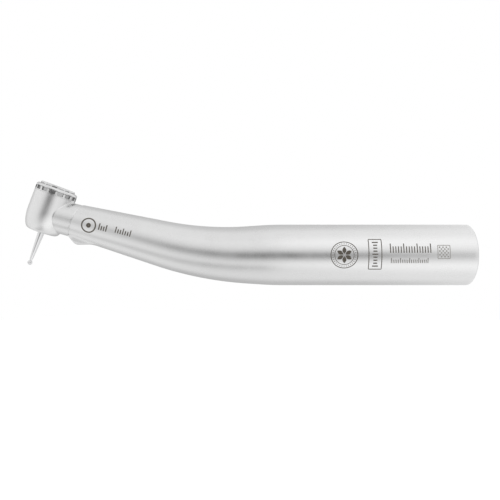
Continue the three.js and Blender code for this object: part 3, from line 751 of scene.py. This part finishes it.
def petal_mark(centre, angle, inner, outer, width):
    """A pointed petal that runs out from a centre."""
    share = np.linspace(0.02, 0.98, 12)[:, None]
    out = np.array([math.cos(angle), math.sin(angle)])
    aside = np.array([-out[1], out[0]]) * width / 2 * np.sin(math.pi * share)
    line = np.array(centre) + out * (inner + (outer - inner) * share)
    return strip(line - aside, line + aside)


def frame_mark(low, high, width, corner=0.25):
    """A rectangle's outline with rounded corners."""
    corners = ((high[0], high[1]), (low[0], high[1]), (low[0], low[1]), (high[0], low[1]))
    lines = []
    for inset in (0, width):
        path = []
        for quarter, (x, y) in enumerate(corners):
            sx, sy = (1 if x == high[0] else -1), (1 if y == high[1] else -1)
            cx, cy = x - sx * corner, y - sy * corner
            for step in range(5):
                angle = math.pi / 2 * (quarter + step / 4)
                reach = corner - inset
                path.append((cx + reach * math.cos(angle), cy + reach * math.sin(angle)))
        lines.append(spread(path))
    return strip(lines[0], lines[1], closed=True)


def spread(path, pieces=14):
    """The closed path with its long sides divided."""
    points = []
    for here, after in zip(path, path[1:] + path[:1]):
        count = pieces if math.dist(here, after) > 1 else 1
        for step in range(count):
            points.append(np.array(here) + (np.array(after) - np.array(here)) * step / count)
    return np.array(points)


def tick_row(first, last, foot, tall, count, width, every=5):
    """A plain scale: ticks on one line, every so many of them taller."""
    made = []
    for i in range(count):
        x = first + (last - first) * i / (count - 1)
        height = tall if i % every == 0 else SHORT_TICK * tall
        made.append(bar_mark((x, foot), (x, foot + height), width))
    return made


def merge(parts):
    points, faces = [], []
    for part_points, part_faces in parts:
        faces += [tuple(i + len(points) for i in face) for face in part_faces]
        points += list(part_points)
    return points, faces


def emblem_mark(centre, petals=6, dashes=32):
    """Petals in a ring, with a ring of short dashes between it and the outer ring."""
    parts = [ring_mark(centre, 3.48, 0.2), ring_mark(centre, 2.5, 0.14)]
    for i in range(dashes):
        angle = 2 * math.pi * i / dashes
        out = np.array([math.cos(angle), math.sin(angle)])
        parts.append(bar_mark(np.array(centre) + 2.74 * out, np.array(centre) + 3.04 * out, 0.14))
    for i in range(petals):
        angle = math.pi / 2 + 2 * math.pi * i / petals
        parts.append(petal_mark(centre, angle, 0.3, 2.1, 1.0))
    return merge(parts)


def panel_mark(low, high, bars=9, margin=0.95):
    """A frame with a ladder of bars, whose ends and middle are wider."""
    parts = [frame_mark(low, high, 0.2)]
    middle = (low[0] + high[0]) / 2
    for i in range(bars):
        y = low[1] + margin + (high[1] - low[1] - 2 * margin) * i / (bars - 1)
        reach = 0.75 if i % 4 == 0 else 0.5
        parts.append(bar_mark((middle - reach, y), (middle + reach, y), 0.3))
    return merge(parts)


def checker_mark(low, high, cells=6, margin=0.35, fill=0.8):
    """A frame filled with a plain checker."""
    parts = [frame_mark(low, high, 0.16, 0.2)]
    size = [(b - a - 2 * margin) / cells for a, b in zip(low, high)]
    for i in range(cells):
        for j in range(i % 2, cells, 2):
            x = low[0] + margin + (i + (1 - fill) / 2) * size[0]
            y = low[1] + margin + (j + 0.5) * size[1]
            parts.append(bar_mark((x, y), (x + fill * size[0], y), fill * size[1]))
    return merge(parts)


def lamp_mark(centre):
    """A ring with a dot in it."""
    return merge([ring_mark(centre, 1.98, 0.34), ring_mark(centre, 0.62, 0.58)])


def neck_ticks():
    near = tick_row(SEAM - 7.5, SEAM - 9.4, -0.55, 1.7, 4, 0.3, 3)
    far = tick_row(SEAM - 11.9, SEAM - 15.8, -0.2, 1.6, 7, 0.26, 3)
    return merge(near + far)


# Places are [distance from the rear, arc up from the side line]
MARKS = {
    "mark_lamp_ring": lambda: lamp_mark((SEAM - 4.7, -0.1)),
    "mark_neck_ticks": neck_ticks,
    "mark_emblem": lambda: emblem_mark((33.9, 0.05)),
    "mark_panel": lambda: panel_mark((24.4, -3.76), (27.85, 4.25)),
    "mark_scale_large": lambda: merge(tick_row(22.3, 12.2, 0.6, 2.4, 16, 0.24)),
    "mark_scale_small": lambda: merge(tick_row(22.1, 12.9, -2.0, 1.3, 21, 0.16)),
    "mark_checker": lambda: checker_mark((7.25, -0.95), (10.5, 2.6)),
}

# ---- Materials ----


class Nodes:
    """A node tree that is built by calls."""

    def __init__(self, tree):
        self.tree = tree
        self.tree.nodes.clear()

    def link(self, source, target):
        self.tree.links.new(source, target)

    def add(self, kind, inputs=None, **settings):
        node = self.tree.nodes.new("ShaderNode" + kind)
        for key, value in settings.items():
            setattr(node, key, value)
        for socket, value in (inputs or {}).items():
            if isinstance(value, bpy.types.NodeSocket):
                self.link(value, node.inputs[socket])
            else:
                node.inputs[socket].default_value = value
        return node

    def math(self, operation, first, second):
        return self.add("Math", {0: first, 1: second}, operation=operation).outputs["Value"]


class Shader(Nodes):
    """A material and its nodes, with textures laid out in millimetres."""

    def __init__(self, name):
        self.material = bpy.data.materials.new(name)
        self.material.use_nodes = True
        super().__init__(self.material.node_tree)
        self.surface = self.add("BsdfPrincipled")
        output = self.add("OutputMaterial")
        self.link(self.surface.outputs["BSDF"], output.inputs["Surface"])

    def coordinates(self, stretch=(1, 1, 1), tilt=0.0):
        """Object coordinates in millimetres, stretched along the handle or the head."""
        source = self.add("TexCoord").outputs["Object"]
        turned = self.add("Mapping", {"Vector": source, "Rotation": (0, tilt, 0)}).outputs["Vector"]
        scale = tuple(s / MM for s in stretch)
        return self.add("Mapping", {"Vector": turned, "Scale": scale}).outputs["Vector"]

    def noise(self, scale, detail=3.0, stretch=(1, 1, 1), tilt=0.0, rough=0.55):
        place = self.coordinates(stretch, tilt)
        inputs = {"Vector": place, "Scale": scale, "Detail": detail, "Roughness": rough}
        return self.add("TexNoise", inputs).outputs["Fac"]

    def ranged(self, value, low, high, start=0.3, end=0.7):
        inputs = {"Value": value, "From Min": start, "From Max": end, "To Min": low, "To Max": high}
        return self.add("MapRange", inputs).outputs["Result"]

    def blend(self, share, first, second):
        node = self.add("Mix", {"Factor": share}, data_type="RGBA")
        for socket, value in ((node.inputs[6], first), (node.inputs[7], second)):
            if isinstance(value, bpy.types.NodeSocket):
                self.link(value, socket)
            else:
                socket.default_value = (*value, 1)
        return node.outputs[2]

    def bump(self, height, strength, distance):
        inputs = {"Height": height, "Strength": strength, "Distance": distance * MM}
        return self.add("Bump", inputs).outputs["Normal"]

    def finish(self, colour, roughness, normal, **plain):
        self.link(colour, self.surface.inputs["Base Color"])
        self.link(roughness, self.surface.inputs["Roughness"])
        self.link(normal, self.surface.inputs["Normal"])
        for name, value in plain.items():
            self.surface.inputs[name.replace("_", " ").title()].default_value = value
        return self.material


ALONG_HANDLE, NO_LINES = (0.12, 1, 1), (1, 1, 1)
HAIR, HAIR_TURN, HAIR_SHADE = 0.004, 0.35, 0.25  # a scratch's width in the noise, its slant, its strength


def metal(name, light, dark, roughness, stretch=ALONG_HANDLE, tilt=0.0, relief=0.0006, spread=0.05):
    """Worked metal: fine lines or grain, soft smudges and a few hairline scratches."""
    shader = Shader(name)
    lines = shader.noise(9, 5, stretch, tilt)
    smudges = shader.noise(0.22, 4, tilt=tilt)
    speckle = shader.noise(34, 2, tilt=tilt)
    scratch = shader.noise(1.3, 6, (0.15, 2.6, 2.6), tilt + HAIR_TURN, 0.75)
    off = shader.math("ABSOLUTE", shader.math("SUBTRACT", scratch, 0.5), 0)
    hairline = shader.ranged(off, 1, 0, 0, HAIR)
    tone = shader.math("ADD", shader.math("MULTIPLY", lines, 0.6), shader.math("MULTIPLY", smudges, 0.4))
    colour = shader.blend(shader.ranged(tone, 0, 1, 0.38, 0.62), dark, light)
    scratched = tuple(0.8 * c for c in dark)
    worn = shader.blend(shader.math("MULTIPLY", hairline, HAIR_SHADE), colour, scratched)
    dull = shader.ranged(smudges, roughness - spread, roughness + spread)
    fine = shader.ranged(speckle, -0.02, 0.02)
    grain = shader.math("ADD", lines, shader.math("MULTIPLY", speckle, 0.5))
    height = shader.math("SUBTRACT", grain, hairline)
    rough = shader.math("ADD", dull, fine)
    return shader.finish(worn, rough, shader.bump(height, 0.5, relief), metallic=1.0)


def moulded(name, light, dark, roughness, grain=6.0, relief=0.004):
    """Resin, rubber or enamel with a fine skin."""
    shader = Shader(name)
    skin_grain = shader.noise(grain, 5)
    cloud = shader.noise(0.6, 4)
    colour = shader.blend(shader.ranged(cloud, 0, 1), dark, light)
    speck = shader.blend(shader.ranged(skin_grain, 0, 0.3, 0.5, 0.75), colour, dark)
    rough = shader.ranged(skin_grain, roughness - 0.08, roughness + 0.08)
    return shader.finish(speck, rough, shader.bump(skin_grain, 0.5, relief))


def banded(name, light, dark, roughness, pitch, metallic):
    """Metal with turned rings, or wound wire, across the handle."""
    shader = Shader(name)
    inputs = {"Vector": shader.coordinates(), "Scale": 0.314 / pitch, "Distortion": 0.4, "Detail": 2.0}
    bands = shader.add("TexWave", inputs, wave_type="BANDS", bands_direction="X").outputs["Fac"]
    tarnish = shader.noise(0.5, 5)
    colour = shader.blend(shader.ranged(tarnish, 0, 1), dark, light)
    lined = shader.blend(shader.math("MULTIPLY", bands, 0.3), colour, dark)
    rough = shader.ranged(tarnish, roughness - 0.06, roughness + 0.08)
    return shader.finish(lined, rough, shader.bump(bands, 0.6, pitch / 4), metallic=metallic)


def clear_lens(name):
    """Clear glass with a faint film and polishing haze."""
    shader = Shader(name)
    film = shader.noise(1.6, 4)
    haze = shader.noise(14, 3)
    colour = shader.blend(shader.ranged(film, 0, 1), (0.9, 0.95, 0.97), (0.97, 0.98, 0.99))
    rough = shader.ranged(haze, 0.03, 0.09)
    shader.surface.inputs["IOR"].default_value = 1.5
    return shader.finish(colour, rough, shader.bump(haze, 0.2, 0.001), transmission_weight=1.0)


def phosphor(name):
    """The LED: yellow phosphor dies on a pale ceramic base."""
    shader = Shader(name)
    inputs = {"Vector": shader.coordinates(), "Scale": 2.2, "Randomness": 0.1}
    cells = shader.add("TexVoronoi", inputs, feature="DISTANCE_TO_EDGE").outputs["Distance"]
    grain = shader.noise(20, 3)
    die = shader.blend(shader.ranged(grain, 0, 1), (0.9, 0.78, 0.28), (0.95, 0.88, 0.5))
    colour = shader.blend(shader.ranged(cells, 1, 0, 0.03, 0.06), die, (0.8, 0.8, 0.77))
    return shader.finish(colour, shader.ranged(grain, 0.35, 0.5), shader.bump(cells, 0.3, 0.02))


def engraved(name, dark, light):
    """Laser-marked steel: dark, dull oxide with the steel's grain in it."""
    shader = Shader(name)
    grain = shader.noise(14, 4, (0.3, 1, 1))
    cloud = shader.noise(0.8, 3)
    colour = shader.blend(shader.ranged(grain, 0, 1), dark, light)
    aged = shader.blend(shader.ranged(cloud, 0, 0.35), colour, light)
    rough = shader.ranged(grain, 0.5, 0.66)
    return shader.finish(aged, rough, shader.bump(grain, 0.4, 0.003), metallic=0.25)


HEAD_LINES = {"stretch": (1, 1, 0.15), "tilt": -HEAD_TILT}
FINE = {"relief": 0.0003}


def grey(tone):
    return (tone, tone, tone)


MATERIALS = {
    "satin_steel": metal("satin_steel", grey(0.775), grey(0.735), 0.29, spread=0.03, **FINE),
    "cap_steel": metal("cap_steel", grey(0.765), grey(0.69), 0.24, **HEAD_LINES),
    "inner_steel": metal("inner_steel", (0.68, 0.68, 0.69), (0.56, 0.56, 0.57), 0.26, (1, 0.2, 0.2)),
    "impeller_alloy": metal("impeller_alloy", (0.76, 0.77, 0.78), (0.64, 0.65, 0.67), 0.32, NO_LINES),
    "bearing_steel": metal("bearing_steel", (0.7, 0.71, 0.72), (0.6, 0.61, 0.63), 0.12, **HEAD_LINES),
    "spring_steel": metal("spring_steel", (0.6, 0.61, 0.62), (0.46, 0.47, 0.49), 0.25, NO_LINES),
    "carbide": metal("carbide", (0.78, 0.78, 0.785), (0.66, 0.66, 0.665), 0.13, **FINE, **HEAD_LINES),
    "magnet": metal("magnet", (0.42, 0.42, 0.43), (0.3, 0.3, 0.31), 0.35, NO_LINES),
    "ball_ceramic": moulded("ball_ceramic", (0.07, 0.07, 0.075), (0.03, 0.03, 0.035), 0.16, 20, 0.0005),
    "cage_resin": moulded("cage_resin", (0.33, 0.2, 0.1), (0.2, 0.11, 0.05), 0.5),
    "seal_rubber": moulded("seal_rubber", (0.05, 0.05, 0.055), (0.02, 0.02, 0.022), 0.65, 10),
    "gasket_silicone": moulded("gasket_silicone", (0.32, 0.42, 0.48), (0.24, 0.33, 0.38), 0.55, 10),
    "wire_red": moulded("wire_red", (0.5, 0.05, 0.03), (0.36, 0.03, 0.02), 0.38),
    "wire_black": moulded("wire_black", (0.03, 0.03, 0.035), (0.015, 0.015, 0.018), 0.4),
    "brass": banded("brass", (0.8, 0.62, 0.3), (0.6, 0.43, 0.18), 0.28, 0.3, 1.0),
    "copper_winding": banded("copper_winding", (0.75, 0.36, 0.17), (0.45, 0.18, 0.08), 0.3, 0.22, 0.9),
    "clear_glass": clear_lens("clear_glass"),
    "led": phosphor("led"),
}
# Painted shade: a darker steel for the faces in the cap's notches and the button's slots, standing in for the
# shade that falls in these recesses
PAINTED_RECESS_SHADE = metal("cap_recess_painted_shade", grey(0.5), grey(0.38), 0.24, **HEAD_LINES)  # in notches and slots
MARK_DARK = engraved("laser_mark", (0.06, 0.052, 0.042), (0.12, 0.105, 0.085))
MARK_PALE = engraved("laser_mark_pale", (0.26, 0.25, 0.235), (0.36, 0.35, 0.33))

# ---- Putting the pieces together ----

SLOT_OF = {part["node"]: part["material_slot"] for part in RECORD["subparts"]}
BODY_OF = {node: body for body, nodes in RECORD["behaviour"]["bodies"].items() for node in nodes}
PIECES = {
    "handle_shell": handle_body,
    "light_window": light_window,
    "led_module": led_emitter,
    "socket_sleeve": socket_liner,
    "head_housing": head_body,
    "back_cap": cap_body,
    "cap_retaining_ring": cap_ring,
    "push_button": button_body,
    "button_spring": spring_coil,
    "bur": bur_tool,
}
SHARP = math.radians(32)  # edges more bent than this stay sharp in the shading


def shade(made, material):
    """Turns a mesh in millimetres into metres and gives it its finish, beside any second material of painted
    shade.
    """
    made.data.transform(Matrix.Scale(MM, 4))
    if len(made.data.materials) == 2:
        made.data.materials[0] = material
    else:
        made.data.materials.clear()
        made.data.materials.append(material)
    made.data.shade_smooth()
    made.data.set_sharp_from_angle(angle=SHARP)
    return made


def add_pieces():
    """Adds the drawn pieces in place of their CAD nodes."""
    for node, build in PIECES.items():
        made = shade(build(), MATERIALS[SLOT_OF[node]])
        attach(made, BODY_OF[node])
        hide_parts(node)
        if node == "button_spring":
            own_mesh(made)


def add_marks():
    for name, build in MARKS.items():
        material = MARK_PALE if name == "mark_checker" else MARK_DARK
        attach(shade(mesh_object(name, *build()), material), "handpiece")


def finish_nodes():
    """Gives the CAD nodes that stay their materials."""
    for node, made in frame["nodes"].items():
        for slot in made.material_slots:
            slot.material = MATERIALS[SLOT_OF[node]]
        if not made.material_slots:
            made.data.materials.append(MATERIALS[SLOT_OF[node]])


# ---- Floor, light and camera ----

# In metres, with the power in watts and the lens and sensor in millimetres
FLOOR_DROP, FLOOR_RADIUS, FLOOR_DEPTH, FLOOR_GLOW = 0.045, 0.32, 0.004, 0.35
BOX_SIZE, BOX_POWER = (0.3, 0.12), 0.006
KEY_PLACE, REAR_PLACE = (0, -0.2, 0.2), (0, 0.2, 0.24)
CAMERA_PLACE, CAMERA_LENS, CAMERA_SENSOR, CAMERA_NEAR = (-0.0576, -0.136, 0.0013), 36.72, 36, 0.005


def add_floor(count=96):
    """A pale round floor, well below the handpiece, that glows a little to stay white."""
    middle = (cad_box[0] + cad_box[1]) / 2
    turn = np.linspace(0, 2 * math.pi, count, endpoint=False)
    x, y = FLOOR_RADIUS * np.cos(turn) + middle.x, FLOOR_RADIUS * np.sin(turn)
    top = cad_box[0].z - FLOOR_DROP
    rings = [np.stack([x, y, np.full(count, z)], axis=-1) for z in (top, top - FLOOR_DEPTH)]
    floor = mesh_object("floor", *skin(rings))
    shader = Shader("pale_floor")
    cloud = shader.noise(0.02, 3)
    colour = shader.blend(shader.ranged(cloud, 0, 1), grey(0.86), grey(0.88))
    shader.surface.inputs["Emission Color"].default_value = (1, 1, 1, 1)
    shader.surface.inputs["Emission Strength"].default_value = FLOOR_GLOW
    material = shader.finish(colour, shader.ranged(cloud, 0.8, 0.9), shader.bump(cloud, 0.1, 0.1))
    floor.data.materials.append(material)
    floor.visible_glossy = False


class Sky(Nodes):
    """The studio's light, as a brightness that depends on direction."""

    def ease(self, value, start, end, low, high):
        """Goes smoothly from low to high while the value goes from start to end."""
        inputs = {"Value": value, "From Min": start, "From Max": end, "To Min": low, "To Max": high}
        return self.add("MapRange", inputs, interpolation_type="SMOOTHSTEP").outputs["Result"]

    def hump(self, value, middle, width):
        """1 at the middle, falling off to each side."""
        off = self.math("DIVIDE", self.math("SUBTRACT", value, middle), width)
        return self.math("POWER", math.e, self.times(off, off, -1.0))

    def times(self, first, *others):
        for other in others:
            first = self.math("MULTIPLY", first, other)
        return first


def sky_level(sky):
    """Bright all round, but for a dim gap in front, with strips above and below it, and soft shades."""
    direction = sky.add("TexCoord").outputs["Generated"]
    split = sky.add("SeparateXYZ", {0: direction})
    x, y, z = split.outputs["X"], split.outputs["Y"], split.outputs["Z"]
    front = sky.ease(y, -0.1, -0.4, 0.0, 1.0)
    back = sky.ease(y, 0.1, 0.7, 0.0, 1.0)
    left = sky.ease(x, 0.12, -0.12, 0.0, 1.0)
    gap_height = sky.math("ADD", sky.ease(z, -0.12, 0.1, 0.25, 0.2), sky.times(left, 0.06))
    gap = sky.times(sky.hump(x, 0.0, 0.4), sky.hump(z, -0.01, gap_height))
    depth = sky.times(sky.ease(y, -0.3, 0.3, -0.92, -0.3), sky.ease(left, 0.0, 1.0, 1.0, 0.88))
    parts = [
        sky.times(gap, depth),
        sky.times(sky.hump(z, 0.68, 0.3), front, sky.ease(left, 0.0, 1.0, 0.16, -0.04)),
        sky.times(sky.hump(z, -0.6, 0.22), front, sky.ease(left, 0.0, 1.0, 0.22, 0.06)),
        sky.times(sky.hump(z, -0.76, 0.12), front, left, -0.38),
        sky.times(back, sky.ease(x, 0.2, 0.55, -0.3, 0.04)),
        sky.times(sky.hump(x, -0.18, 0.25), -0.08),
        sky.ease(x, 0.1, 0.45, 0.0, 0.05),
        sky.ease(x, 0.55, 0.8, 0.0, -0.17),
    ]
    level = 1.0
    for part in parts:
        level = sky.math("ADD", level, part)
    return level


def add_world():
    """The pale studio, seen as plain white behind the handpiece."""
    world = bpy.data.worlds.new("studio")
    world.use_nodes = True
    bpy.context.scene.world = world
    sky = Sky(world.node_tree)
    seen = sky.add("LightPath").outputs["Is Camera Ray"]
    mixed = {0: seen, 2: sky_level(sky), 3: 1.0}
    strength = sky.add("Mix", mixed, data_type="FLOAT").outputs[0]
    background = sky.add("Background", {"Color": (1, 1, 1, 1), "Strength": strength})
    output = sky.add("OutputWorld")
    sky.link(background.outputs[0], output.inputs["Surface"])


def add_light(name, place):
    """A soft box that faces the middle of the handpiece."""
    data = bpy.data.lights.new(name, "AREA")
    data.shape = "RECTANGLE"
    data.size, data.size_y = BOX_SIZE
    data.energy = BOX_POWER
    light = bpy.data.objects.new(name, data)
    middle = (cad_box[0] + cad_box[1]) / 2
    light.location = middle + Vector(place)
    light.rotation_euler = (-Vector(place)).to_track_quat("-Z", "Y").to_euler()
    bpy.context.scene.collection.objects.link(light)


def add_camera():
    """Level with the handle and square to it, as near as a close-up lens stands."""
    data = bpy.data.cameras.new("camera")
    data.sensor_width = CAMERA_SENSOR
    data.lens = CAMERA_LENS
    data.clip_start = CAMERA_NEAR
    camera = bpy.data.objects.new("camera", data)
    camera.location = CAMERA_PLACE
    camera.rotation_euler = (math.pi / 2, 0, 0)
    bpy.context.scene.collection.objects.link(camera)
    bpy.context.scene.camera = camera


finish_nodes()
add_pieces()
add_marks()
add_floor()
add_world()
add_light("key_box", KEY_PLACE)
add_light("rear_box", REAR_PLACE)
add_camera()
bpy.context.scene.view_settings.view_transform = "Standard"
